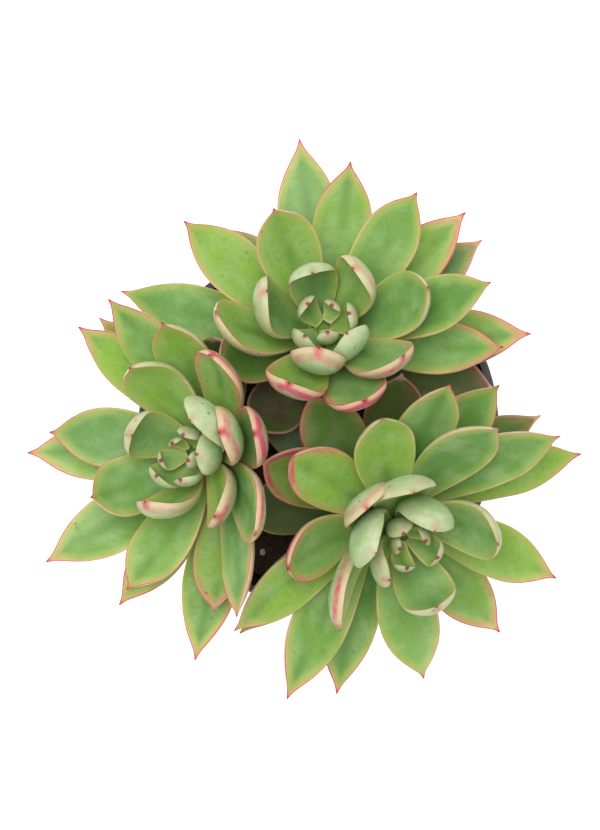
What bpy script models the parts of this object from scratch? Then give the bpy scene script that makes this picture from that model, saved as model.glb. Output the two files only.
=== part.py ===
"""Potted succulent: three echeveria rosettes sharing one round nursery pot.

The pot is a thin moulded cone with a rolled lip and a recessed ring of drain
slots.  The compost fills it almost to the lip.  Three short stems lean apart
from the middle and each one carries a rosette.  Every leaf is the same thick
boat shape: a slightly hollow face, a keeled back and a small point at the tip.

Leaves are listed per rosette from the oldest (lowest on the stem, lying out
nearly flat) to the youngest (top of the stem, standing up in the bud).  The
largest leaves are pieces of their own.  The bud leaves and a few old leaves low
in the gaps are one solid with the stem that carries them.
"""
import math

import bmesh
import bpy
import numpy as np

# ---------------------------------------------------------------- pot (metres)
POT_RIM_RADIUS = 0.0525
POT_BASE_RADIUS = 0.0365
POT_HEIGHT = 0.075
POT_WALL = 0.0012
LIP_HEIGHT = 0.0060
LIP_DEPTH = 0.0016
DRAIN_HOLES = 6
DRAIN_RADIUS = 0.0035
DRAIN_INSET = 0.009       # from the foot of the wall in to the hole centres
SOIL_DROP = 0.009         # from the top of the lip down to the soil at the wall
SOIL_DOME = 0.0015
STEM_DEPTH = 0.006        # how deep a stem stands in its socket
CLEARANCE = 0.0004

# ------------------------------------------------------------- stems (metres)
STEM_RADIUS = 0.0046
STEM_TIP_RADIUS = 0.0016
LEAF_PITCH = 0.00076      # stem length between one leaf and the next
BUD_TOP = 0.0015          # the youngest leaf sits this far below the stem tip

# ------------------------------------------------------------------ whole plant
PLANT_SCALE = 1.0         # size of the plant above the soil; the pot keeps its own
LEAF_DIP = 0.18           # how steeply the lowest leaves slope down past the lip

# ------------------------------------------------------------ leaf (millimetres)
LEAF_ASPECT = 0.325       # width over length of a grown leaf
BUD_ASPECT = 0.62         # and of a small bud leaf
FOOT_WIDTH = 5.2          # width where a leaf meets its stem
LEAF_DEPTH = 0.25         # keel depth over width
LEAF_HOLLOW = 0.055       # hollow of the face over width, on a grown leaf
BUD_HOLLOW = 0.11         # and on a young one
LEAF_LIP = 0.035          # rounding above the margin over width
POINT = 0.035             # share of the length taken by the point at the tip

# Each rosette: where its stem comes out of the soil, the spot of its lowest leaf
# and the top of the stem (millimetres, heights above the lip), then its leaves.
# A leaf row is compass angle seen from above, rise above the horizontal, length
# in millimetres, roll about its own middle line, and whether it stays one piece
# with the stem.
ROSETTES = {
    "a": dict(
        foot=(1.5, 19.0), low=(1.7, 23.6, 13.0), top=(1.4, 28.6, 33.0), bud=(228.0, 15.0),
        leaves=[
            (76, -8, 38, 0, True), (132, -8, 44, 0, True), (34, -3, 50, 0, False),
            (345, 4, 46, 0, False), (232, 20, 30, 0, True), (97, -4, 55, 0, False),
            (43, 5, 50, 0, False), (166, 2, 55, 12, False), (2, 10, 54, 0, False),
            (82, 11, 47, 0, False), (190, 30, 31, 0, True), (140, 13, 48, 0, False),
            (357, 17, 47, -14, False), (58, 22, 46, 0, False), (166, 46, 38, 25, False),
            (18, 31, 50, 0, False), (112, 32, 39, 0, False), (301, 62, 37, 0, False),
            (25, 42, 36, 0, False), (232, 67, 35, 0, False), (141, 55, 28, 25, False),
            (344, 56, 34, -25, False), (68, 52, 27, -22, True), (102, 53, 23, 0, True),
            (245, 81, 25, 0, True), (358, 78, 22, 0, True),
        ],
    ),
    "b": dict(
        foot=(-20.0, -5.0), low=(-26.8, -6.9, 13.0), top=(-37.2, -7.6, 32.0), bud=(285.0, 13.0),
        leaves=[
            (135, -8, 51, 0, True), (99, 17, 31, 0, True), (235, -9, 51, 0, False), (181, -8, 54, 0, False),
            (262, 12, 56, 0, False), (140, -1, 50, 0, False), (212, 3, 55, 0, False),
            (127, 16, 50, 0, False), (268, 22, 43, 0, False), (174, 0, 44, 0, False),
            (114, 32, 40, 0, False), (237, 10, 42, 0, False), (278, 35, 50, 22, False),
            (94, 51, 36, -6, False), (200, 22, 34, 0, False), (25, 72, 34, 0, False),
            (135, 33, 33, 0, False), (300, 57, 42, 18, False), (213, 45, 26, 28, False),
            (169, 40, 24, 0, True), (54, 78, 30, 0, True), (279, 55, 26, 20, False),
            (112, 74, 31, 0, True), (190, 84, 19, 0, True), (205, 46, 16, 0, True),
        ],
    ),
    "c": dict(
        foot=(15.0, -17.0), low=(18.3, -23.5, 13.0), top=(24.0, -31.9, 32.0), bud=(345.0, 14.0),
        leaves=[
            (80, 20, 36, 0, True), (183, -2, 37, 0, True), (138, -4, 46, 0, True), (223, -5, 52, 0, True), (29, -6, 50, 0, True),
            (313, -8, 47, 0, False), (257, -8, 52, 0, False), (15, 8, 54, 0, False),
            (124, 30, 40, 0, False), (243, 9, 56, 0, False), (338, 7, 48, 0, False),
            (49, 17, 45, 0, False), (157, 37, 43, 0, False), (283, -3, 44, 0, False),
            (25, 21, 51, 0, False), (216, 17, 51, 0, False), (67, 38, 46, 0, False),
            (206, 40, 36, 0, False), (247, 34, 35, -44, False), (42, 40, 45, 0, False),
            (147, 42, 42, 0, False), (346, 40, 33, 0, False), (298, 38, 28, 0, False),
            (98, 43, 38, 0, False), (147, 75, 35, 0, True), (68, 74, 36, 0, True),
            (230, 75, 31, 0, True), (350, 69, 25, 0, True), (263, 50, 19, -35, True),
        ],
    ),
}
BUD_LEAVES = 5
BUD_TURN = 137.5          # angle from each bud leaf to the next

# Stations along a leaf from its foot to the end of its point.
STATIONS = (0.0, 0.02, 0.22, 0.42, 0.62, 0.80, 0.92, 0.972, 1.0)
SEGMENTS = 8


# ------------------------------------------------------------------ leaf form
def outline(s, foot):
    """Half width of a leaf (1 at its widest) at the share s of its length."""
    end = 1.0 - POINT
    wide = 0.62 * end
    if s <= wide:
        return foot + (1.0 - foot) * math.sin(0.5 * math.pi * s / wide) ** 1.35
    blade = max(0.0, 1.0 - ((s - wide) / (end - wide)) ** 2.3)
    point = 0.085 * min(1.0, (1.0 - s) / (1.6 * POINT))
    return max(blade, point)


def keel(s):
    """Depth of the back (1 at its deepest) at the share s of the length."""
    end = 1.0 - POINT
    root = 0.33 + 0.67 * math.sin(0.5 * math.pi * min(1.0, s / 0.45))
    tip = max(0.0, 1.0 - (s / end) ** 4) ** 0.75
    point = 0.13 * min(1.0, (1.0 - s) / (1.6 * POINT))
    return max(root * tip, point)


def leaf_vertex(theta, phi, length, width, depth, curl, hollow):
    """Turns a spot on a unit sphere into a spot on a leaf lying along +X, face up."""
    spot = theta / math.pi * (len(STATIONS) - 1)
    s = float(np.interp(spot, range(len(STATIONS)), STATIONS))
    across, up = math.cos(phi), math.sin(phi)
    if s in (0.0, 1.0):
        across = up = 0.0
    half = 0.5 * width * outline(s, min(0.5, FOOT_WIDTH / width))
    if up > 0.0:
        z = 2.0 * half * (LEAF_LIP * up - hollow * up * up)
    else:
        z = depth * keel(s) * up
    bend = math.radians(curl)
    angle = bend * s
    radius = length / bend
    return np.array([
        radius * math.sin(angle) - z * math.sin(angle),
        half * across,
        radius * (1.0 - math.cos(angle)) + z * math.cos(angle),
    ])


def leaf_size(length, rise):
    """Width, depth, curl and hollow of a leaf: young upright leaves are broader, bend
    more and are more hollow."""
    young = min(1.0, max(0.0, (50.0 - length) / 25.0))
    width = length * (LEAF_ASPECT + (BUD_ASPECT - LEAF_ASPECT) * young)
    depth = width * LEAF_DEPTH
    curl = 10.0 + 0.42 * rise + 45.0 * young * min(1.0, max(0.0, (rise - 45.0) / 32.0))
    hollow = LEAF_HOLLOW + (BUD_HOLLOW - LEAF_HOLLOW) * young
    return width, depth, curl, hollow


def unit(v):
    v = np.array(v, float)
    return v / np.linalg.norm(v)


def leaf_row(rosette, index):
    """Direction, length, roll and whether it is joined, for any leaf of a rosette."""
    low, top = np.array(rosette["low"], float), np.array(rosette["top"], float)
    axis = unit(top - low)
    listed = len(rosette["leaves"])
    if index < listed:
        azimuth, rise, length, roll, joined = rosette["leaves"][index]
        a, r = math.radians(azimuth), math.radians(rise)
        forward = np.array([math.cos(r) * math.cos(a), math.cos(r) * math.sin(a), math.sin(r)])
        return axis, forward, length, roll, joined
    step = index - listed
    east = unit(np.cross((0.0, 1.0, 0.0), axis))
    north = np.cross(axis, east)
    start, length = rosette["bud"]
    a = math.radians(start + BUD_TURN * step)
    r = math.radians(66.0 + 2.5 * step)
    out = math.cos(a) * east + math.sin(a) * north
    forward = math.cos(r) * out + math.sin(r) * axis
    return axis, forward, (length - 1.4 * step), 0.0, True


def leaf_count(rosette):
    return len(rosette["leaves"]) + BUD_LEAVES


def leaf_frame(rosette, index):
    """Foot of the leaf, and its own forward, side and up directions."""
    axis, chord, length, roll, joined = leaf_row(rosette, index)
    top = np.array(rosette["top"], float)
    down = 1000.0 * (BUD_TOP + LEAF_PITCH * (leaf_count(rosette) - 1 - index))
    out = unit(chord - axis * np.dot(chord, axis))
    rise = math.degrees(math.asin(np.dot(chord, axis)))
    curl = leaf_size(length, rise)[2]
    side = unit(np.cross(axis, chord))
    up = np.cross(chord, side)
    turn = math.radians(roll)
    side, up = (math.cos(turn) * side + math.sin(turn) * up,
                math.cos(turn) * up - math.sin(turn) * side)
    half = 0.5 * math.radians(curl)
    forward = math.cos(half) * chord - math.sin(half) * up
    up = math.cos(half) * up + math.sin(half) * chord
    reach = stem_radius(down) + (0.45 if not joined else -0.9)
    foot = top - axis * down + out * reach
    return foot, forward, side, up, length, rise


def stem_radius(down):
    """Stem radius in millimetres at a distance below the stem tip."""
    return 1000.0 * (STEM_TIP_RADIUS + (STEM_RADIUS - STEM_TIP_RADIUS) * min(1.0, down / 14.0))


def place(point):
    """Puts a plant point over the pot: millimetres above the lip to metres above the
    table.  A wider pot carries the plant higher, so that its low leaves clear the lip."""
    spread = np.array(point, float) * 0.001 * PLANT_SCALE
    lift = LEAF_DIP * (POT_RIM_RADIUS - 0.0525)
    return spread + np.array([0.0, 0.0, POT_HEIGHT + lift])


def leaf_point(rosette, index, theta, phi):
    foot, forward, side, up, length, rise = leaf_frame(rosette, index)
    x, y, z = leaf_vertex(theta, phi, length, *leaf_size(length, rise))
    return place(foot + forward * x + side * y + up * z)


# ------------------------------------------------------------------- materials
def material(name, colour, roughness):
    made = bpy.data.materials.new(name)
    made.use_nodes = True
    skin = made.node_tree.nodes["Principled BSDF"]
    skin.inputs["Base Color"].default_value = (*colour, 1.0)
    skin.inputs["Roughness"].default_value = roughness
    skin.inputs["Metallic"].default_value = 0.0
    made.diffuse_color = (*colour, 1.0)
    return made


# --------------------------------------------------------------------- objects
def add_object(name, mesh, collection, skin=None):
    made = bpy.data.objects.new(name, mesh)
    collection.objects.link(made)
    if skin:
        mesh.materials.append(skin)
    return made


def hide_tool(tool):
    tool.hide_render = True
    tool.display_type = "WIRE"


def boolean(target, tool, operation):
    step = target.modifiers.new(operation.lower(), "BOOLEAN")
    step.operation = operation
    step.solver = "EXACT"
    step.object = tool


def turned(name, profile, steps, collection, skin):
    """A turned solid from a profile that runs from the axis, up the inside, over
    the top and down the outside back to the axis (metres)."""
    form = bmesh.new()
    spots = [form.verts.new((radius, 0.0, height)) for radius, height in profile]
    for one, two in zip(spots, spots[1:]):
        form.edges.new((one, two))
    mesh = bpy.data.meshes.new(name)
    form.to_mesh(mesh)
    form.free()
    made = add_object(name, mesh, collection, skin)
    spin = made.modifiers.new("turn", "SCREW")
    spin.steps = steps
    spin.render_steps = steps
    spin.use_merge_vertices = True
    spin.merge_threshold = 0.00002
    spin.use_smooth_shade = True
    return made


def leaf_mesh(name, rosette, index):
    """A small sphere whose poles become the foot and the point of the leaf."""
    form = bmesh.new()
    bmesh.ops.create_uvsphere(form, u_segments=SEGMENTS, v_segments=len(STATIONS) - 1, radius=1.0)
    for spot in form.verts:
        theta = math.acos(max(-1.0, min(1.0, spot.co.z)))
        phi = math.atan2(spot.co.y, spot.co.x)
        spot.co = leaf_point(rosette, index, theta, phi)
    bmesh.ops.triangulate(form, faces=[f for f in form.faces if len(f.verts) > 3])
    bmesh.ops.recalc_face_normals(form, faces=form.faces)
    mesh = bpy.data.meshes.new(name)
    form.to_mesh(mesh)
    form.free()
    mesh.shade_smooth()
    return mesh


def round_rod(name, points, radii, sides, collection):
    """A stem: a cone-shaped tube swept through a few points (metres)."""
    form = bmesh.new()
    rings = []
    for spot, (point, radius) in enumerate(zip(points, radii)):
        ahead = points[min(spot + 1, len(points) - 1)] - points[max(spot - 1, 0)]
        along = unit(ahead)
        side = unit(np.cross((0.0, 1.0, 0.0), along))
        front = np.cross(along, side)
        ring = bmesh.ops.create_circle(form, segments=sides, radius=radius, cap_ends=False)["verts"]
        for corner in ring:
            x, y = corner.co.x, corner.co.y
            corner.co = point + side * x + front * y
        rings.append(ring)
    for lower, upper in zip(rings, rings[1:]):
        edges = [e for e in form.edges if all(v in lower for v in e.verts)]
        edges += [e for e in form.edges if all(v in upper for v in e.verts)]
        bmesh.ops.bridge_loops(form, edges=edges)
    bmesh.ops.holes_fill(form, edges=[e for e in form.edges if e.is_boundary], sides=0)
    bmesh.ops.recalc_face_normals(form, faces=form.faces)
    mesh = bpy.data.meshes.new(name)
    form.to_mesh(mesh)
    form.free()
    mesh.shade_smooth()
    return add_object(name, mesh, collection)


def stem_path(rosette, swell=0.0):
    """Centre points and radii of a stem from its foot in the soil to its tip (metres)."""
    low, top = np.array(rosette["low"], float), np.array(rosette["top"], float)
    axis = unit(top - low)
    out_x, out_y = place((*rosette["foot"], 0.0))[:2]
    foot = np.array([out_x, out_y, POT_HEIGHT - SOIL_DROP - STEM_DEPTH])
    upper = [place(spot) for spot in (low, top - axis * 14.0, top - axis * 5.0, top)]
    points = [foot, foot + (upper[0] - foot) * 0.5] + upper
    downs = [99.0, 99.0, 99.0, 14.0, 5.0, 0.0]
    radii = [stem_radius(down) * 0.001 * PLANT_SCALE + swell for down in downs]
    return points, radii


def build():
    for old in list(bpy.data.objects):
        bpy.data.objects.remove(old, do_unlink=True)
    scene = bpy.context.scene
    whole = bpy.data.collections.new("potted_succulent")
    tools = bpy.data.collections.new("cutters")
    scene.collection.children.link(whole)
    scene.collection.children.link(tools)

    black = material("black_plastic", (0.012, 0.012, 0.013), 0.42)
    earth = material("compost", (0.035, 0.024, 0.017), 0.95)
    bark = material("stem", (0.16, 0.19, 0.09), 0.7)
    green = material("leaf", (0.24, 0.36, 0.14), 0.45)

    soil_level = POT_HEIGHT - SOIL_DROP

    # The pot: a thin cone, its lip turned out and down, standing on a flat base.
    slope = (POT_RIM_RADIUS - LIP_DEPTH - POT_BASE_RADIUS) / POT_HEIGHT
    under_lip = POT_BASE_RADIUS + slope * (POT_HEIGHT - LIP_HEIGHT)
    inner_top = POT_BASE_RADIUS + slope * POT_HEIGHT - POT_WALL
    floor_top = 1.3 * POT_WALL
    inner_foot = POT_BASE_RADIUS + slope * floor_top - POT_WALL
    round_off = 0.0006
    profile = [
        (0.0, floor_top), (inner_foot, floor_top), (inner_top, POT_HEIGHT - round_off),
        (inner_top + round_off, POT_HEIGHT), (POT_RIM_RADIUS - round_off, POT_HEIGHT),
        (POT_RIM_RADIUS, POT_HEIGHT - round_off), (POT_RIM_RADIUS, POT_HEIGHT - LIP_HEIGHT),
        (under_lip, POT_HEIGHT - LIP_HEIGHT), (POT_BASE_RADIUS, round_off),
        (POT_BASE_RADIUS - round_off, 0.0), (0.0, 0.0),
    ]
    pot = turned("pot", profile, 48, whole, black)
    for hole in range(DRAIN_HOLES):
        turn = 2.0 * math.pi * (hole + 0.5) / DRAIN_HOLES
        reach = POT_BASE_RADIUS - DRAIN_INSET
        bpy.ops.mesh.primitive_cylinder_add(
            vertices=12, radius=DRAIN_RADIUS, depth=0.01,
            location=(reach * math.cos(turn), reach * math.sin(turn), 0.0))
        drill = bpy.context.object
        drill.name = "drain_cutter_%d" % hole
        for home in list(drill.users_collection):
            home.objects.unlink(drill)
        tools.objects.link(drill)
        hide_tool(drill)
        boolean(pot, drill, "DIFFERENCE")

    # The compost fills the pot with a little room to the wall and sits a bit
    # domed, with a socket for each stem.
    soil_low = floor_top + CLEARANCE
    soil_foot = POT_BASE_RADIUS + slope * soil_low - POT_WALL - CLEARANCE
    soil_top = POT_BASE_RADIUS + slope * soil_level - POT_WALL - CLEARANCE
    profile = [
        (0.0, soil_level + SOIL_DOME), (soil_top * 0.5, soil_level + SOIL_DOME * 0.8),
        (soil_top * 0.85, soil_level + SOIL_DOME * 0.25), (soil_top, soil_level),
        (soil_foot, soil_low), (0.0, soil_low),
    ]
    soil = turned("soil", profile, 40, whole, earth)

    for letter, rosette in ROSETTES.items():
        points, radii = stem_path(rosette, CLEARANCE)
        points[0] = points[0] - np.array([0.0, 0.0, CLEARANCE])
        socket = round_rod("socket_" + letter, points[:3], radii[:3], 10, tools)
        hide_tool(socket)
        boolean(soil, socket, "DIFFERENCE")

        points, radii = stem_path(rosette)
        crown = round_rod("crown_" + letter, points, radii, 10, whole)
        crown.data.materials.append(bark)
        piece = 0
        for index in range(leaf_count(rosette)):
            joined = leaf_row(rosette, index)[4]
            if joined:
                bud = add_object("bud_%s_%02d" % (letter, index),
                                 leaf_mesh("bud", rosette, index), tools, green)
                hide_tool(bud)
                boolean(crown, bud, "UNION")
            else:
                piece += 1
                name = "leaf_%s%02d" % (letter, piece)
                add_object(name, leaf_mesh(name, rosette, index), whole, green)


build()
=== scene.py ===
# %% [markdown]
# # A potted succulent
#
# Three echeveria rosettes grow out of one round nursery pot.  The pot, the compost, the
# three stems and every leaf were packed as plain CAD solids.  This notebook keeps their
# sizes and places and gives each one its real surface.
#
# It never moves, and each new piece hides the CAD node it stands for.

# %% Load the imported model
import math
import random

import bmesh
import bpy
import numpy as np
from mathutils import Matrix, Vector, noise


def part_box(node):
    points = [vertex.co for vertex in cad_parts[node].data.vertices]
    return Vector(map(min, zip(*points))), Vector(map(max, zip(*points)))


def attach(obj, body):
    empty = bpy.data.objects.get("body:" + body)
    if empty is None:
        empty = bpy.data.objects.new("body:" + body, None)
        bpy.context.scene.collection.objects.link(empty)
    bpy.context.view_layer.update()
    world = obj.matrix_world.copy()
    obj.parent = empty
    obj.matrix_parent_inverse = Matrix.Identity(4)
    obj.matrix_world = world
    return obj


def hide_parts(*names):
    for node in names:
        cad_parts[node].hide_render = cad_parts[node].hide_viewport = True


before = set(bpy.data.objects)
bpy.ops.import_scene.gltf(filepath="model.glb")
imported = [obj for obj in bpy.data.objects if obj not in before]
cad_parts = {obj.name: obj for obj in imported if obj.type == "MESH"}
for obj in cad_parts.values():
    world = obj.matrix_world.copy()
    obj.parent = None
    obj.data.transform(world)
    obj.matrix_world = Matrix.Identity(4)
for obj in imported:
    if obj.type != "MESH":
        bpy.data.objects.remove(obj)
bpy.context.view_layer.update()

# %% [markdown]
# ## Measures
#
# The stems and the leaves follow the same measures as the solids, in millimetres above
# the lip of the pot, so they are typed again here.  A rosette has the spot of its lowest
# leaf, the top of its stem, the direction and size of its bud, and its leaves from the
# oldest to the youngest.  A leaf row is compass angle, rise above the horizontal, length,
# roll about its own middle line, and whether it is one piece with the stem.

# %% Sizes and the rosette table
POT_RIM_RADIUS = 0.0525
POT_BASE_RADIUS = 0.0365
POT_HEIGHT = 0.075
POT_WALL = 0.0012
LIP_HEIGHT = 0.0060
LIP_DEPTH = 0.0016
DRAIN_HOLES = 6
DRAIN_RADIUS = 0.0035
DRAIN_INSET = 0.009
SOIL_LEVEL = 0.066
STEM_RADIUS = 4.6
STEM_TIP_RADIUS = 1.6
LEAF_PITCH = 0.76
BUD_TOP = 1.5
BUD_LEAVES = 5
BUD_TURN = 137.5

ROSETTES = {
    "a": dict(
        foot=(1.5, 19.0), low=(1.7, 23.6, 13.0), top=(1.4, 28.6, 33.0), bud=(228.0, 15.0),
        leaves=[
            (76, -8, 38, 0, True), (132, -8, 44, 0, True), (34, -3, 50, 0, False),
            (345, 4, 46, 0, False), (232, 20, 30, 0, True), (97, -4, 55, 0, False),
            (43, 5, 50, 0, False), (166, 2, 55, 12, False), (2, 10, 54, 0, False),
            (82, 11, 47, 0, False), (190, 30, 31, 0, True), (140, 13, 48, 0, False),
            (357, 17, 47, -14, False), (58, 22, 46, 0, False), (166, 46, 38, 25, False),
            (18, 31, 50, 0, False), (112, 32, 39, 0, False), (301, 62, 37, 0, False),
            (25, 42, 36, 0, False), (232, 67, 35, 0, False), (141, 55, 28, 25, False),
            (344, 56, 34, -25, False), (68, 52, 27, -22, True), (102, 53, 23, 0, True),
            (245, 81, 25, 0, True), (358, 78, 22, 0, True),
        ],
    ),
    "b": dict(
        foot=(-20.0, -5.0), low=(-26.8, -6.9, 13.0), top=(-37.2, -7.6, 32.0), bud=(285.0, 13.0),
        leaves=[
            (135, -8, 51, 0, True), (99, 17, 31, 0, True),
            (235, -9, 51, 0, False), (181, -8, 54, 0, False),
            (262, 12, 56, 0, False), (140, -1, 50, 0, False), (212, 3, 55, 0, False),
            (127, 16, 50, 0, False), (268, 22, 43, 0, False), (174, 0, 44, 0, False),
            (114, 32, 40, 0, False), (237, 10, 42, 0, False), (278, 35, 50, 22, False),
            (94, 51, 36, -6, False), (200, 22, 34, 0, False), (25, 72, 34, 0, False),
            (135, 33, 33, 0, False), (300, 57, 42, 18, False), (213, 45, 26, 28, False),
            (169, 40, 24, 0, True), (54, 78, 30, 0, True), (279, 55, 26, 20, False),
            (112, 74, 31, 0, True), (190, 84, 19, 0, True), (205, 46, 16, 0, True),
        ],
    ),
    "c": dict(
        foot=(15.0, -17.0), low=(18.3, -23.5, 13.0), top=(24.0, -31.9, 32.0), bud=(345.0, 14.0),
        leaves=[
            (80, 20, 36, 0, True), (183, -2, 37, 0, True), (138, -4, 46, 0, True),
            (223, -5, 52, 0, True), (29, -6, 50, 0, True),
            (313, -8, 47, 0, False), (257, -8, 52, 0, False), (15, 8, 54, 0, False),
            (124, 30, 40, 0, False), (243, 9, 56, 0, False), (338, 7, 48, 0, False),
            (49, 17, 45, 0, False), (157, 37, 43, 0, False), (283, -3, 44, 0, False),
            (25, 21, 51, 0, False), (216, 17, 51, 0, False), (67, 38, 46, 0, False),
            (206, 40, 36, 0, False), (247, 34, 35, -44, False), (42, 40, 45, 0, False),
            (147, 42, 42, 0, False), (346, 40, 33, 0, False), (298, 38, 28, 0, False),
            (98, 43, 38, 0, False), (147, 75, 35, 0, True), (68, 74, 36, 0, True),
            (230, 75, 31, 0, True), (350, 69, 25, 0, True), (263, 50, 19, -35, True),
        ],
    ),
}
for letter, rosette in ROSETTES.items():
    print("rosette", letter, len(rosette["leaves"]) + BUD_LEAVES, "leaves")

# %% [markdown]
# ## Where a leaf sits
#
# A leaf leaves its stem at right angles to the stem and then curls up to its listed rise.
# `leaf_frame` gives the foot of the leaf and its forward, side and up directions, which
# carry any spot of a flat-lying leaf to its place on the plant.

# %% Leaf places
def unit(v):
    v = np.array(v, float)
    return v / np.linalg.norm(v)


def stem_radius(down):
    return STEM_TIP_RADIUS + (STEM_RADIUS - STEM_TIP_RADIUS) * min(1.0, down / 14.0)


def leaf_row(rosette, index):
    axis = unit(np.array(rosette["top"]) - np.array(rosette["low"]))
    listed = len(rosette["leaves"])
    if index < listed:
        azimuth, rise, length, roll, joined = rosette["leaves"][index]
        a, r = math.radians(azimuth), math.radians(rise)
        chord = np.array([math.cos(r) * math.cos(a), math.cos(r) * math.sin(a), math.sin(r)])
        return axis, chord, length, roll, joined
    step = index - listed
    east = unit(np.cross((0.0, 1.0, 0.0), axis))
    north = np.cross(axis, east)
    start, length = rosette["bud"]
    a, r = math.radians(start + BUD_TURN * step), math.radians(66.0 + 2.5 * step)
    chord = math.cos(r) * (math.cos(a) * east + math.sin(a) * north) + math.sin(r) * axis
    return axis, chord, length - 1.4 * step, 0.0, True


def leaf_frame(rosette, index):
    axis, chord, length, roll, joined = leaf_row(rosette, index)
    count = len(rosette["leaves"]) + BUD_LEAVES
    down = BUD_TOP + LEAF_PITCH * (count - 1 - index)
    out = unit(chord - axis * np.dot(chord, axis))
    rise = math.degrees(math.asin(np.dot(chord, axis)))
    side = unit(np.cross(axis, chord))
    up = np.cross(chord, side)
    turn = math.radians(roll)
    side, up = (math.cos(turn) * side + math.sin(turn) * up,
                math.cos(turn) * up - math.sin(turn) * side)
    reach = stem_radius(down) + (-0.9 if joined else 0.45)
    foot = np.array(rosette["top"]) - axis * down + out * reach
    return foot, chord, side, up, length, rise, joined


print("leaf_frame ready")

# %% [markdown]
# ## The leaf
#
# An echeveria leaf is a thick boat: broad past its middle, a shallow hollow on the face,
# a keeled back, a margin where the two meet at a narrow rounded edge, and a short hard
# point.  One UV sphere makes the whole closed skin: its poles become the foot and the
# point, its meridians run along the leaf, and each vertex is moved by the leaf's rule.
# Growth is never even, so a slow noise bends the margin and dents the skin by a few
# tenths of a millimetre.
#
# Each vertex also keeps what the finish needs: its distance in from the margin and from
# the point, how far it faces up, and the leaf's own age, blush and wither.

# %% Leaf form
RINGS = 44
SEGMENTS = 36
POINT = 0.035


def clamp(x):
    return min(1.0, max(0.0, x))


def outline(s, foot, young):
    """Half width of a leaf, 1 at its widest."""
    end = 1.0 - POINT
    wide = (0.60 + 0.05 * young) * end
    if s <= wide:
        blade = foot + (1.0 - foot) * math.sin(0.5 * math.pi * s / wide) ** 1.35
        return blade * math.sqrt(clamp(s / 0.02))
    t = clamp((s - wide) / (end - wide))
    blade = max(0.0, 1.0 - t ** (2.1 + 1.0 * young)) ** (1.0 - 0.25 * young)
    point = (0.12 - 0.02 * young) * clamp((1.0 - s) / (1.4 * POINT)) ** 0.8
    return (blade ** 2.6 + point ** 2.6) ** (1.0 / 2.6)


def keel(s, young):
    """Depth of the back, 1 at its deepest."""
    end = 1.0 - POINT
    root = 0.33 + 0.67 * math.sin(0.5 * math.pi * min(1.0, s / 0.45))
    tip = max(0.0, 1.0 - (s / end) ** (4.0 + 2.5 * young)) ** (0.75 - 0.2 * young)
    point = 0.13 * clamp((1.0 - s) / (1.5 * POINT)) ** 0.8
    return math.sqrt(clamp(s / 0.02)) * ((root * tip) ** 3 + point ** 3) ** (1.0 / 3.0)


def spine(length, rise, young):
    """The middle line of a leaf, as spots and slopes along it, seen from the side.  It
    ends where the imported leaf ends; a young leaf bends over more, most of it near the tip."""
    bend = math.radians(10.0 + 0.42 * rise + 45.0 * young * clamp((rise - 45.0) / 32.0))
    reach = 2.0 * length / bend * math.sin(0.5 * bend)
    shares = np.linspace(0.0, 1.0, 81)
    slopes = bend * shares ** (1.0 + 0.35 * young)
    steps = np.diff(shares)
    middle = 0.5 * (slopes[1:] + slopes[:-1])
    x = np.concatenate(([0.0], np.cumsum(steps * np.cos(middle))))
    z = np.concatenate(([0.0], np.cumsum(steps * np.sin(middle))))
    turn = math.atan2(z[-1], x[-1])
    scale = reach / math.hypot(x[-1], z[-1])
    flat_x = (x * math.cos(turn) + z * math.sin(turn)) * scale
    flat_z = (z * math.cos(turn) - x * math.sin(turn)) * scale
    return shares, flat_x, flat_z, slopes - turn, scale


def add_values(mesh, values):
    for name, numbers in values.items():
        layer = mesh.attributes.new(name, "FLOAT", "POINT")
        layer.data.foreach_set("value", np.array(numbers, np.float32))


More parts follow.
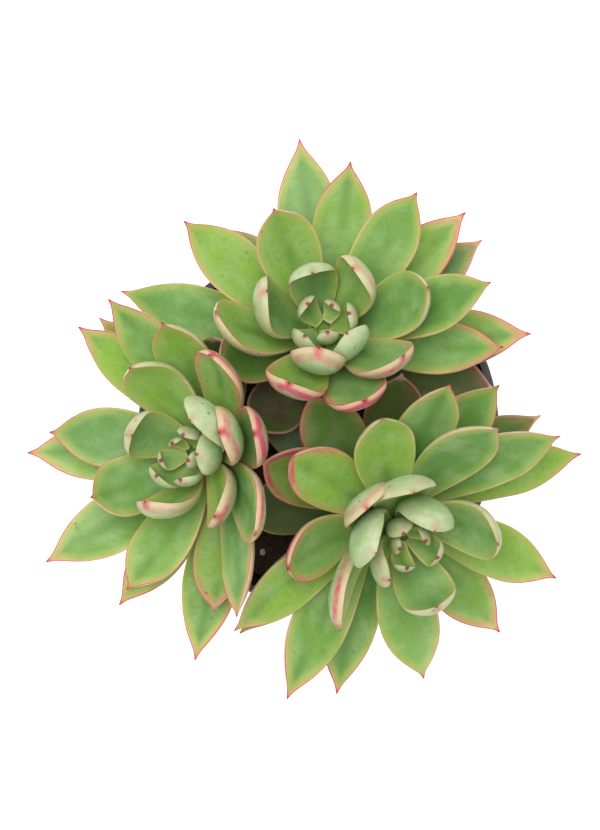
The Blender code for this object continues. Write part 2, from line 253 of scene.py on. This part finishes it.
def leaf_mesh(name, rosette, index, seed, age, redness, blush, wither):
    tone = 0.5 + 0.5 * math.sin(seed * 2.399)
    foot, forward, side, up, length, rise, joined = leaf_frame(rosette, index)
    young = clamp((50.0 - length) / 25.0)
    width = length * (0.325 + 0.295 * young)
    depth = (0.26 + 0.09 * young) * width
    hollow = 0.055 + 0.065 * young
    base = min(0.5, 5.2 / width)
    shares, line_x, line_z, slopes, long = spine(length, rise, young)
    rim = np.array([(s * long, 0.5 * width * outline(s, base, young))
                    for s in np.linspace(0.0, 1.0, 121)])
    shape = bmesh.new()
    bmesh.ops.create_uvsphere(shape, u_segments=SEGMENTS, v_segments=RINGS, radius=1.0)
    edge, tip, facing, middle = [], [], [], []
    for spot in shape.verts:
        theta = math.acos(max(-1.0, min(1.0, spot.co.z)))
        phi = math.atan2(spot.co.y, spot.co.x)
        phi -= 0.24 * math.sin(2.0 * phi)
        s = 0.5 - 0.5 * math.cos(theta)
        across, rising = math.cos(phi), math.sin(phi)
        if s < 1e-6 or s > 1.0 - 1e-6:
            across = rising = 0.0
        half = 0.5 * width * outline(s, base, young)
        flat_y = half * across
        near = np.hypot(rim[:, 0] - s * long, rim[:, 1] - abs(flat_y)).min()
        wave = noise.noise(Vector((s * length / 13.0, across * 0.7, seed * 3.7)))
        dent = noise.noise(Vector((s * length / 9.0, flat_y / 6.0, 50.0 + seed * 2.3)))
        y = flat_y * (1.0 + 0.04 * wave)
        if rising > 0.0:
            z = 2.0 * half * (0.035 * rising - hollow * rising * rising)
        else:
            z = depth * keel(s, young) * rising
        z += (0.30 * wave + 0.25 * dent) * clamp(s * 3.0) * clamp(half / 3.0)
        slope = float(np.interp(s, shares, slopes))
        x = float(np.interp(s, shares, line_x)) - z * math.sin(slope)
        z = float(np.interp(s, shares, line_z)) + z * math.cos(slope)
        place = foot + forward * x + side * y + up * z
        spot.co = Vector(place) * 0.001 + Vector((0.0, 0.0, POT_HEIGHT))
        edge.append(near)
        tip.append(math.hypot(length - s * length, flat_y))
        facing.append(rising)
        middle.append(abs(flat_y))
    bmesh.ops.recalc_face_normals(shape, faces=shape.faces)
    mesh = bpy.data.meshes.new(name)
    shape.to_mesh(mesh)
    shape.free()
    count = len(mesh.vertices)
    add_values(mesh, {"edge": edge, "tip": tip, "facing": facing, "middle": middle,
                      "age": [age] * count, "redness": [redness] * count,
                      "blush": [blush] * count, "wither": [wither] * count,
                      "tone": [tone] * count})
    mesh.shade_smooth()
    return mesh


print("leaf form:", RINGS, "rings of", SEGMENTS)

# %% [markdown]
# ## Colours and nodes
#
# Colours are written as sRGB hex values and turned linear by one function.  One more
# function adds a node: its settings are keywords, its inputs a dictionary of values or of
# other nodes' outputs.  A painted surface is a stack of layers, each a colour and a mask.

# %% Colour and node helpers
def linear(code):
    parts = [int(code[i:i + 2], 16) / 255.0 for i in (1, 3, 5)]
    parts = [c / 12.92 if c <= 0.04045 else ((c + 0.055) / 1.055) ** 2.4 for c in parts]
    return (*parts, 1.0)


def node(tree, kind, inputs=None, out=0, **settings):
    made = tree.nodes.new(kind)
    for name, value in settings.items():
        setattr(made, name, value)
    for name, value in (inputs or {}).items():
        if isinstance(value, bpy.types.NodeSocket):
            tree.links.new(value, made.inputs[name])
        else:
            made.inputs[name].default_value = value
    return made.outputs[out]


def new_material(name):
    made = bpy.data.materials.new(name)
    made.use_nodes = True
    return made, made.node_tree, made.node_tree.nodes["Principled BSDF"]


def mask(tree, *terms):
    """How strongly a layer shows: the product of its terms.  A term is a socket, a number,
    or (source, start, end) for a smooth step from 0 to 1; two more numbers after them
    give it other ends than 0 and 1."""
    product = None
    for term in terms:
        if isinstance(term, tuple):
            source, start, end, low, high = (*term, 0.0, 1.0)[:5]
            term = node(tree, "ShaderNodeMapRange",
                        {0: source, 1: start, 2: end, 3: low, 4: high},
                        interpolation_type="SMOOTHSTEP")
        product = term if product is None else node(
            tree, "ShaderNodeMath", {0: product, 1: term}, operation="MULTIPLY")
    return product


def layered(tree, colour, *layers):
    """A colour with others laid over it in turn.  A layer is a colour and the terms of its
    mask."""
    for over, *terms in layers:
        if isinstance(over, str):
            over = linear(over)
        colour = node(tree, "ShaderNodeMix", {0: mask(tree, *terms), 6: colour, 7: over},
                      out=2, data_type="RGBA", clamp_factor=True)
    return colour


print("helpers ready, mid grey:", linear("#808080")[0])

# %% [markdown]
# ## Leaf skin
#
# The skin is a living cuticle with a thin wax bloom over juicy tissue.  The bloom makes it
# satin, not glossy.  Young faces are blue-green, grown ones yellow-green.  The colour
# turns yellow, cream and then red in the last millimetres before the margin, and the
# point is crimson.  Backs are paler and take a pink flush under the margin.  Old low
# leaves go dull olive brown.

# %% Leaf material
def build_leaf_skin():
    made, tree, skin = new_material("echeveria_leaf_skin")
    edge, tip, middle, facing, age, ruddy, blush, wither, tone = [
        node(tree, "ShaderNodeAttribute", out=2, attribute_name=name)
        for name in ("edge", "tip", "middle", "facing", "age", "redness", "blush",
                     "wither", "tone")]
    spots = node(tree, "ShaderNodeTexCoord", out=3)
    # Patches 13 mm across for uneven growth, clouds of 6 mm for the bloom, mottled flesh
    # of 1.5 mm, and corky specks about 5 mm apart.
    patch, cloud, mottle = [
        node(tree, "ShaderNodeTexNoise", {"Vector": spots, "Scale": scale, "Detail": detail,
                                          "Roughness": rough})
        for scale, detail, rough in ((75.0, 1.5, 0.5), (170.0, 3.0, 0.55), (650.0, 2.0, 0.6))]
    speck = node(tree, "ShaderNodeTexVoronoi", {"Vector": spots, "Scale": 210.0})
    # Red gathers toward the point, and runs as a blotchy band just inside the margin.
    redness = mask(tree, ruddy, (tip, 26.0, 4.0, 0.3, 1.0))
    band = mask(tree, (edge, 0.1, 0.7), (edge, 2.7, 1.1), (cloud, 0.3, 0.62, 0.25, 1.35))

    # The face: blue-green and clouded with wax when young, clear yellow-green when grown;
    # no two leaves have quite the same green.
    face = layered(
        tree, linear("#7a9c61"),
        ("#658f25", age),
        ("#86a93c", (tone, 0.45, 1.0), 0.75),
        ("#55813a", (tone, 0.45, 0.0), 0.7),
        ("#8fab6b", (patch, 0.42, 0.66), 0.42),
        ("#9bb583", (cloud, 0.42, 0.7), 0.28),
        ("#4a762c", (mottle, 0.48, 0.72), 0.25),
        ("#4d7a2c", (middle, 3.2, 0.0), (patch, 0.4, 0.62, 0.1, 0.6)),
        # Painted shade: the face darkens toward the foot of a long leaf, where the leaves above
        # crowd in and shade it.
        ("#46722a", (tip, 20.0, 46.0, 0.0, 0.55)),
        ("#94ac4c", (edge, 3.6, 0.8), 0.45),
        ("#b5b766", (edge, 3.0, 1.0), redness, (patch, 0.35, 0.6, 0.1, 0.6)),
        ("#bd5c58", band, blush, redness, (tone, 0.0, 1.0, 0.5, 1.0)),
        ("#cbbf85", (edge, 0.8, 0.4), (patch, 0.35, 0.62, 0.1, 0.65)),
        ("#bb4f57", (edge, 0.62, 0.2), (redness, 0.0, 0.8, 0.15, 1.1),
         (patch, 0.34, 0.6, 0.5, 1.3)))

    # The back: paler, waxy, with a crimson flush that starts under the margin.
    back = layered(
        tree, linear("#93ac7c"),
        ("#7c9c45", age),
        ("#b3c4a0", (cloud, 0.35, 0.65), 0.55),
        ("#6f8f4a", (mottle, 0.48, 0.72), 0.25),
        ("#ad7a74", (blush, 0.6, 1.0), (cloud, 0.35, 0.7, 0.3, 0.7)),
        ("#bdbd84", (edge, 4.0, 1.2), blush, (patch, 0.35, 0.6, 0.15, 0.7)),
        ("#bb5363", band, blush, (tip, 30.0, 8.0, 0.55, 1.25), (mottle, 0.3, 0.6, 0.75, 1.0)),
        ("#cf9a86", (edge, 0.5, 0.15), (redness, 0.0, 1.0, 0.1, 0.7)))

    # A withered leaf: olive and brown, pink at the rim, straw at the dried point.
    dull = layered(
        tree, linear("#3f4d1e"),
        ("#42291f", (cloud, 0.35, 0.65)),
        ("#b07a70", (edge, 0.9, 0.3), (tip, 22.0, 3.0, 0.1, 0.9)),
        ("#b9a488", (tip, 3.4, 1.6, 0.0, 0.8)))

    colour = layered(
        tree, back,
        (face, (facing, -0.05, 0.03)),
        ("#7c6a45", (speck, 0.13, 0.08), (patch, 0.56, 0.62, 0.0, 0.75)),
        ("#b5364a", (tip, 2.7, 1.0), (ruddy, 0.0, 1.0, 0.15, 0.95)),
        ("#6e1a28", (tip, 1.05, 0.65, 0.0, 0.9)),
        (dull, wither))
    tree.links.new(colour, skin.inputs["Base Color"])
    tree.links.new(mask(tree, (cloud, 0.3, 0.7, 0.4, 0.56)), skin.inputs["Roughness"])
    skin.inputs["IOR"].default_value = 1.42
    skin.inputs["Subsurface Weight"].default_value = 0.18
    skin.inputs["Subsurface Radius"].default_value = (0.9, 1.0, 0.35)
    skin.inputs["Subsurface Scale"].default_value = 0.0014
    relief = node(tree, "ShaderNodeBump", {"Strength": 0.35, "Distance": 0.0003,
                                           "Height": mottle})
    tree.links.new(relief, skin.inputs["Normal"])
    return made


LEAF_SKIN = build_leaf_skin()
print("leaf skin nodes:", len(LEAF_SKIN.node_tree.nodes))

# %% [markdown]
# ## Make the leaves
#
# A leaf's age follows its place: low leaves are old, the bud is young.  A few leaves are
# named apart because light or crowding has changed them: `LOOKS` gives their age, the
# red of their margin, the blush of their back and how withered they are.

# %% Leaf objects
LOOKS = {
    "a": {0: (1.0, 0.5, 0.2, 0.6), 1: (1.0, 0.6, 0.4, 0.3), 2: (1.0, 0.9, 0.6, 0.3),
          3: (1.0, 0.9, 0.8, 0.8), 4: (1.0, 0.5, 0.6, 0.95), 6: (1.0, 1.0, 0.5, 0.0),
          7: (0.6, 0.5, 0.4, 0.0), 8: (0.9, 0.9, 0.5, 0.0), 10: (1.0, 1.0, 0.6, 0.35),
          12: (0.4, 0.7, 0.9, 0.0), 14: (0.3, 0.6, 0.3, 0.0), 17: (0.3, 0.9, 1.0, 0.0),
          19: (0.3, 0.8, 0.9, 0.0), 20: (0.2, 0.35, 0.25, 0.0), 21: (0.3, 0.7, 0.6, 0.0),
          22: (0.1, 0.35, 0.3, 0.0), 23: (0.15, 0.15, 0.05, 0.0), 24: (0.1, 0.6, 0.4, 0.0),
          25: (0.1, 0.1, 0.05, 0.0)},
    "b": {0: (1.0, 0.6, 0.4, 0.2), 1: (1.0, 0.6, 0.9, 0.9), 8: (0.9, 0.7, 0.6, 0.2),
          12: (0.4, 0.9, 0.6, 0.0),
          13: (0.4, 0.8, 0.7, 0.0), 17: (0.4, 0.9, 0.6, 0.0), 15: (0.4, 1.0, 1.0, 0.1),
          18: (0.2, 0.7, 0.3, 0.0), 20: (0.2, 0.8, 0.6, 0.0), 21: (0.2, 0.6, 0.5, 0.0),
          22: (0.1, 0.2, 0.1, 0.0), 23: (0.1, 0.15, 0.1, 0.0), 24: (0.1, 0.15, 0.05, 0.0)},
    "c": {0: (1.0, 0.9, 0.9, 0.75), 1: (1.0, 0.5, 0.4, 0.7),
          2: (1.0, 0.5, 0.4, 0.75), 3: (1.0, 0.6, 0.5, 0.2), 4: (1.0, 0.8, 0.5, 0.6),
          5: (1.0, 0.9, 0.5, 0.0), 8: (0.8, 0.9, 0.8, 0.4), 12: (0.8, 1.0, 0.9, 0.4),
          17: (0.4, 0.8, 0.7, 0.0), 18: (0.3, 0.7, 0.6, 0.0), 20: (0.3, 0.9, 0.8, 0.0),
          24: (0.1, 0.5, 0.35, 0.0), 25: (0.1, 0.35, 0.2, 0.0), 26: (0.1, 0.15, 0.1, 0.0),
          27: (0.1, 0.2, 0.1, 0.0), 28: (0.1, 0.3, 0.2, 0.0)},
}


def add_piece(name, mesh, material, slot, *nodes):
    made = bpy.data.objects.new(name, mesh)
    bpy.context.scene.collection.objects.link(made)
    mesh.materials.append(material)
    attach(made, "root")
    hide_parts(*nodes)
    return made


for letter, rosette in ROSETTES.items():
    apart = 0
    for index in range(len(rosette["leaves"]) + BUD_LEAVES):
        rise, joined = leaf_frame(rosette, index)[5:]
        count = len(rosette["leaves"]) + BUD_LEAVES
        age = clamp(1.15 - 1.35 * index / (count - 1.0))
        looks = LOOKS[letter].get(index, (age, 0.1 + 0.65 * age, 0.15 + 0.2 * age, 0.0))
        seed = "abc".index(letter) * 40 + index
        name = "%s%02d_leaf" % (letter, index)
        mesh = leaf_mesh(name, rosette, index, seed, *looks)
        apart += 0 if joined else 1
        home = "crown_" + letter if joined else "leaf_%s%02d" % (letter, apart)
        add_piece(name, mesh, LEAF_SKIN, "leaf", home)
    print("rosette", letter, "made,", apart, "leaves stand for their own nodes")

# %% [markdown]
# ## Stems
#
# A stem is a short tapering rod, ringed by the scars of leaves it has dropped: dull brown
# cork at the foot, still green where the young leaves sit.

# %% Stem pieces
def build_bark():
    made, tree, skin = new_material("stem_bark")
    spots = node(tree, "ShaderNodeTexCoord", out=3)
    grain = node(tree, "ShaderNodeTexNoise", {"Vector": spots, "Scale": 420.0, "Detail": 4.0})
    fresh = node(tree, "ShaderNodeAttribute", out=2, attribute_name="fresh")
    bark = node(tree, "ShaderNodeMix", {0: grain, 6: linear("#4c4024"), 7: linear("#8a7a4c")},
                out=2, data_type="RGBA")
    colour = node(tree, "ShaderNodeMix", {0: fresh, 6: bark, 7: linear("#56782c")},
                  out=2, data_type="RGBA")
    tree.links.new(colour, skin.inputs["Base Color"])
    skin.inputs["Roughness"].default_value = 0.8
    relief = node(tree, "ShaderNodeBump", {"Strength": 0.6, "Distance": 0.0006, "Height": grain})
    tree.links.new(relief, skin.inputs["Normal"])
    return made


BARK = build_bark()


STEM_SIDES = 24
SCAR_DEPTH = 0.16


def stem_mesh(name, rosette):
    low, top = np.array(rosette["low"], float), np.array(rosette["top"], float)
    axis = unit(top - low)
    start = np.array([*rosette["foot"], 1000.0 * (SOIL_LEVEL - POT_HEIGHT) - 6.0])
    path, radii = [], []
    for share in np.linspace(0.0, 1.0, 13)[:-1]:
        path.append(start + (low - start) * share)
        radii.append(STEM_RADIUS)
    long = np.linalg.norm(top - low)
    for share in np.linspace(0.0, 1.0, 33)[:-6]:
        path.append(low + (top - low) * share)
        radii.append(stem_radius(long * (1.0 - share)))
    form = bmesh.new()
    ring = bmesh.ops.create_circle(form, segments=STEM_SIDES, radius=1.0, cap_ends=True)["verts"]
    cap = form.faces[:]
    rings = [ring]
    for _ in path[1:]:
        grown = bmesh.ops.extrude_face_region(form, geom=cap)["geom"]
        cap = [g for g in grown if isinstance(g, bmesh.types.BMFace)]
        rings.append([g for g in grown if isinstance(g, bmesh.types.BMVert)])
    fresh = {}
    for spot, ring in enumerate(rings):
        ahead = path[min(spot + 1, len(path) - 1)] - path[max(spot - 1, 0)]
        along = unit(ahead)
        side = unit(np.cross((0.0, 1.0, 0.0), along))
        front = np.cross(along, side)
        scar = SCAR_DEPTH * (spot % 2)
        for turn, corner in enumerate(ring):
            a = 2.0 * math.pi * turn / STEM_SIDES
            r = radii[spot] - scar
            place = path[spot] + side * r * math.cos(a) + front * r * math.sin(a)
            corner.co = Vector(place) * 0.001 + Vector((0.0, 0.0, POT_HEIGHT))
            fresh[corner] = clamp((spot - 16.0) / 14.0)
    green = [fresh[corner] for corner in form.verts]
    bmesh.ops.recalc_face_normals(form, faces=form.faces)
    mesh = bpy.data.meshes.new(name)
    form.to_mesh(mesh)
    form.free()
    add_values(mesh, {"fresh": green})
    mesh.shade_smooth()
    return mesh


for letter, rosette in ROSETTES.items():
    add_piece("stem_" + letter, stem_mesh("stem_" + letter, rosette), BARK, "stem",
              "crown_" + letter)
print("stems made")

# %% [markdown]
# ## The pot
#
# A nursery pot is injection-moulded polypropylene: black, satin, with a turned-out lip.
# Its profile is spun round the upright axis, then a ring of drain holes is cut through
# the floor.

# %% Pot
def build_plastic():
    made, tree, skin = new_material("black_polypropylene")
    spots = node(tree, "ShaderNodeTexCoord", out=3)
    dust = node(tree, "ShaderNodeTexNoise", {"Vector": spots, "Scale": 90.0, "Detail": 5.0})
    colour = node(tree, "ShaderNodeMix", {0: dust, 6: linear("#141415"), 7: linear("#242322")},
                  out=2, data_type="RGBA")
    tree.links.new(colour, skin.inputs["Base Color"])
    rough = node(tree, "ShaderNodeMapRange", {0: dust, 1: 0.3, 2: 0.7, 3: 0.36, 4: 0.52})
    tree.links.new(rough, skin.inputs["Roughness"])
    skin.inputs["IOR"].default_value = 1.49
    grain = node(tree, "ShaderNodeTexNoise", {"Vector": spots, "Scale": 1400.0, "Detail": 2.0})
    relief = node(tree, "ShaderNodeBump", {"Strength": 0.15, "Distance": 0.0002, "Height": grain})
    tree.links.new(relief, skin.inputs["Normal"])
    return made


PLASTIC = build_plastic()


def pot_mesh():
    slope = (POT_RIM_RADIUS - LIP_DEPTH - POT_BASE_RADIUS) / POT_HEIGHT
    under = POT_BASE_RADIUS + slope * (POT_HEIGHT - LIP_HEIGHT)
    inside = POT_BASE_RADIUS + slope * POT_HEIGHT - POT_WALL
    floor_top = 1.3 * POT_WALL
    foot_in = POT_BASE_RADIUS + slope * floor_top - POT_WALL
    profile = [
        (0.0, floor_top), (foot_in - 0.002, floor_top), (foot_in, floor_top + 0.002),
        (inside, POT_HEIGHT - 0.0006), (inside + 0.0006, POT_HEIGHT),
        (POT_RIM_RADIUS - 0.0008, POT_HEIGHT), (POT_RIM_RADIUS, POT_HEIGHT - 0.0008),
        (POT_RIM_RADIUS, POT_HEIGHT - LIP_HEIGHT),
        (POT_RIM_RADIUS - 0.0006, POT_HEIGHT - LIP_HEIGHT),
        (under, POT_HEIGHT - LIP_HEIGHT + 0.0004), (POT_BASE_RADIUS, 0.0008),
        (POT_BASE_RADIUS - 0.0008, 0.0), (POT_BASE_RADIUS - 0.0030, 0.0),
        (POT_BASE_RADIUS - 0.0034, 0.0003), (0.0, 0.0003),
    ]
    form = bmesh.new()
    spots = [form.verts.new((r, 0.0, z)) for r, z in profile]
    edges = [form.edges.new(pair) for pair in zip(spots, spots[1:])]
    bmesh.ops.spin(form, geom=spots + edges, cent=(0, 0, 0), axis=(0, 0, 1), dvec=(0, 0, 0),
                   angle=2 * math.pi, steps=96, use_merge=True)
    bmesh.ops.remove_doubles(form, verts=form.verts, dist=1e-6)
    bmesh.ops.recalc_face_normals(form, faces=form.faces)
    mesh = bpy.data.meshes.new("nursery_pot")
    form.to_mesh(mesh)
    form.free()
    mesh.shade_smooth()
    return mesh


def drilled(piece):
    """The piece's mesh with its drain holes cut through the floor."""
    drills = bmesh.new()
    reach = POT_BASE_RADIUS - DRAIN_INSET
    for hole in range(DRAIN_HOLES):
        turn = 2.0 * math.pi * (hole + 0.5) / DRAIN_HOLES
        place = Matrix.Translation((reach * math.cos(turn), reach * math.sin(turn), 0.0))
        bmesh.ops.create_cone(drills, cap_ends=True, segments=32, radius1=DRAIN_RADIUS,
                              radius2=DRAIN_RADIUS, depth=0.01, matrix=place)
    mesh = bpy.data.meshes.new("drills")
    drills.to_mesh(mesh)
    drills.free()
    tool = bpy.data.objects.new("drills", mesh)
    bpy.context.scene.collection.objects.link(tool)
    cut = piece.modifiers.new("holes", "BOOLEAN")
    cut.operation, cut.solver, cut.object = "DIFFERENCE", "EXACT", tool
    bpy.context.view_layer.update()
    cut_pot = piece.evaluated_get(bpy.context.evaluated_depsgraph_get())
    finished = bpy.data.meshes.new_from_object(cut_pot)
    piece.modifiers.clear()
    bpy.data.objects.remove(tool)
    finished.shade_smooth()
    finished.set_sharp_from_angle(angle=math.radians(40.0))
    return finished


pot = add_piece("nursery_pot", pot_mesh(), PLASTIC, "black_plastic", "pot")
pot.data = drilled(pot)
print("pot:", len(pot.data.polygons), "faces")

# %% [markdown]
# ## Compost
#
# Potting compost is dark fibrous peat with crumbs of fine bark and a few white grains of
# perlite.  The body is one lumpy dome; the loose grains lie half sunk in it.

# %% Compost
def build_compost():
    made, tree, skin = new_material("peat_compost")
    spots = node(tree, "ShaderNodeTexCoord", out=3)
    crumbs = node(tree, "ShaderNodeTexNoise", {"Vector": spots, "Scale": 500.0, "Detail": 6.0,
                                               "Roughness": 0.7})
    colour = node(tree, "ShaderNodeMix", {0: crumbs, 6: linear("#1c130d"), 7: linear("#4a3526")},
                  out=2, data_type="RGBA")
    tree.links.new(colour, skin.inputs["Base Color"])
    skin.inputs["Roughness"].default_value = 0.95
    relief = node(tree, "ShaderNodeBump", {"Strength": 0.9, "Distance": 0.001, "Height": crumbs})
    tree.links.new(relief, skin.inputs["Normal"])
    return made


COMPOST = build_compost()
lowest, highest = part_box("soil")
soil_radius = highest.x - 0.0002


def soil_mesh():
    form = bmesh.new()
    bmesh.ops.create_uvsphere(form, u_segments=72, v_segments=48, radius=1.0)
    for spot in form.verts:
        flat = math.hypot(spot.co.x, spot.co.y)
        reach = flat ** 0.8
        if spot.co.z >= 0.0:
            x = spot.co.x / max(flat, 1e-6) * reach * soil_radius
            y = spot.co.y / max(flat, 1e-6) * reach * soil_radius
            lump = 0.0006 * noise.noise(Vector((x, y, 0.0)) * 260.0)
            lump += 0.0004 * noise.noise(Vector((x, y, 0.1)) * 700.0)
            z = SOIL_LEVEL + 0.0009 * (1.0 - flat * flat) + lump * clamp((1.0 - reach) * 8.0)
        else:
            foot = lowest.z
            share = clamp(-spot.co.z * 3.0)
            r = soil_radius + (POT_BASE_RADIUS - 0.0016 - soil_radius) * share
            r = min(r, r * reach * 1.6) if share >= 1.0 else r
            x = spot.co.x / max(flat, 1e-6) * r
            y = spot.co.y / max(flat, 1e-6) * r
            z = SOIL_LEVEL + (foot - SOIL_LEVEL) * share
        spot.co = Vector((x, y, z))
    bmesh.ops.recalc_face_normals(form, faces=form.faces)
    mesh = bpy.data.meshes.new("compost")
    form.to_mesh(mesh)
    form.free()
    mesh.shade_smooth()
    return mesh


def scattered(name, count, smallest, largest, seed):
    """Loose grains lying half sunk in the compost, each a lopsided twenty-sided crumb."""
    picker = random.Random(seed)
    form = bmesh.new()
    for _ in range(count):
        far = math.sqrt(picker.random())
        turn = picker.uniform(0.0, 2.0 * math.pi)
        size = picker.uniform(smallest, largest)
        r = far * (soil_radius - 0.003)
        stretch = Vector([picker.uniform(0.65, 1.3) for _ in range(3)])
        centre = Vector((r * math.cos(turn), r * math.sin(turn),
                         SOIL_LEVEL + 0.0009 * (1.0 - far ** 2.5) + 0.15 * size))
        grain = bmesh.ops.create_icosphere(form, subdivisions=1, radius=size)["verts"]
        for corner in grain:
            corner.co = corner.co * stretch * picker.uniform(0.85, 1.1) + centre
    mesh = bpy.data.meshes.new(name)
    form.to_mesh(mesh)
    form.free()
    return mesh


def build_grain(name, dark, pale):
    """A dry porous grain: chalky, mottled, with no shine."""
    made, tree, skin = new_material(name)
    spots = node(tree, "ShaderNodeTexCoord", out=3)
    pores = node(tree, "ShaderNodeTexNoise", {"Vector": spots, "Scale": 900.0, "Detail": 3.0})
    colour = node(tree, "ShaderNodeMix", {0: pores, 6: linear(dark), 7: linear(pale)},
                  out=2, data_type="RGBA")
    tree.links.new(colour, skin.inputs["Base Color"])
    skin.inputs["Roughness"].default_value = 0.95
    return made


compost = add_piece("compost", soil_mesh(), COMPOST, "compost", "soil")
bark_crumbs = add_piece("bark_crumbs", scattered("bark_crumbs", 900, 0.0005, 0.0016, 5),
                        build_grain("fine_bark", "#1a110b", "#4a3423"), "compost", "soil")
perlite = add_piece("perlite", scattered("perlite", 60, 0.0004, 0.0011, 8),
                    build_grain("perlite", "#9a9588", "#cfcbc0"), "compost", "soil")
print("compost:", len(compost.data.polygons), "faces, with",
      len(bark_crumbs.data.polygons) + len(perlite.data.polygons), "on its crumbs")

# %% [markdown]
# ## Floor, light and camera
#
# The plant stands on a white opal table.  An even white surround and one large soft lamp
# from the back left light it, and the camera looks straight down.

# %% Stage
def build_stage():
    # Opal acrylic lit from below, the white table small products are shown on.
    made, tree, skin = new_material("opal_acrylic")
    skin.inputs["Base Color"].default_value = linear("#fbfbfb")
    skin.inputs["Roughness"].default_value = 0.9
    skin.inputs["Emission Color"].default_value = (1.0, 1.0, 1.0, 1.0)
    skin.inputs["Emission Strength"].default_value = 0.35
    form = bmesh.new()
    bmesh.ops.create_grid(form, x_segments=1, y_segments=1, size=3.0)
    mesh = bpy.data.meshes.new("floor")
    form.to_mesh(mesh)
    form.free()
    floor = bpy.data.objects.new("floor", mesh)
    bpy.context.scene.collection.objects.link(floor)
    mesh.materials.append(made)


build_stage()
world = bpy.data.worlds.new("studio")
bpy.context.scene.world = world
world.use_nodes = True
world.node_tree.nodes["Background"].inputs["Color"].default_value = (1.0, 1.0, 1.0, 1.0)
world.node_tree.nodes["Background"].inputs["Strength"].default_value = 0.86
lamp = bpy.data.lights.new("softbox", "AREA")
lamp.shape = "DISK"
lamp.size = 0.9
lamp.energy = 11.5
softbox = bpy.data.objects.new("softbox", lamp)
softbox.location = (-0.15, 0.2, 1.15)
softbox.rotation_euler = (math.radians(-10), math.radians(-7), 0.0)
bpy.context.scene.collection.objects.link(softbox)

eye = bpy.data.cameras.new("camera")
eye.lens = 107.96
eye.sensor_width = 36.0
eye.clip_start = 0.01
camera = bpy.data.objects.new("camera", eye)
camera.location = (-0.0054, 0.0031, 0.8)
bpy.context.scene.collection.objects.link(camera)
bpy.context.scene.camera = camera
bpy.context.scene.view_settings.view_transform = "Standard"
print("camera at", tuple(camera.location))

# %% Finish
bpy.context.view_layer.update()
